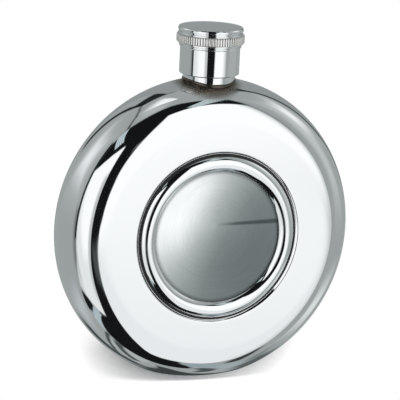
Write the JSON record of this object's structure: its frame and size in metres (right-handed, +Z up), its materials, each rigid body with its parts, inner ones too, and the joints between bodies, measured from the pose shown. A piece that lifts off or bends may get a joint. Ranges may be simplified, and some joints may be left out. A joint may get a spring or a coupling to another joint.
{
  "type": "round hip flask",
  "caption": "Round polished steel hip flask with a brushed plate framed by a half round ring in its flat front face, a rounded rim, a pressed foot, a short neck and a fluted screw cap.",
  "frame": {"origin": "under the middle of the flask's width and depth, on the surface that the pressed foot stands on", "axes": "+Z up along the neck, -Y out of the front face with the framed plate, +X to the right seen from the front"},
  "size_m": [0.1, 0.0292, 0.1155],
  "materials": {
    "polished_steel": "mirror polished stainless steel",
    "spun_steel": "stainless steel brushed in circles",
    "spout_steel": "turned stainless steel",
    "adhesive": "black cured adhesive",
    "liner_plastic": "moulded polypropylene",
    "gasket_silicone": "soft translucent silicone"
  },
  "bodies": {
    "flask": {"front_shell": "polished_steel", "back_shell": "polished_steel", "bezel_ring": "polished_steel", "plate_bond_film": "adhesive", "centre_plate": "spun_steel", "neck_collar": "polished_steel", "neck_spout": "spout_steel"},
    "washer": {"cap_gasket": "gasket_silicone"},
    "cap": {"cap_shell": "polished_steel", "cap_liner": "liner_plastic"}
  },
  "joints": [
    {"name": "cap_rise", "type": "slide", "parent": "flask", "child": "washer", "axis": [0, 0, 1], "range_m": [0, 0.009]},
    {"name": "cap_turn", "type": "hinge", "parent": "washer", "child": "cap", "pos_m": [0, 0.0006, 0.11], "axis": [0, 0, 1], "range_deg": [0, 1080]}
  ],
  "couplings": [
    {"joint": "cap_rise", "follows": "cap_turn", "m_per_rad": 0.00047746}
  ]
}
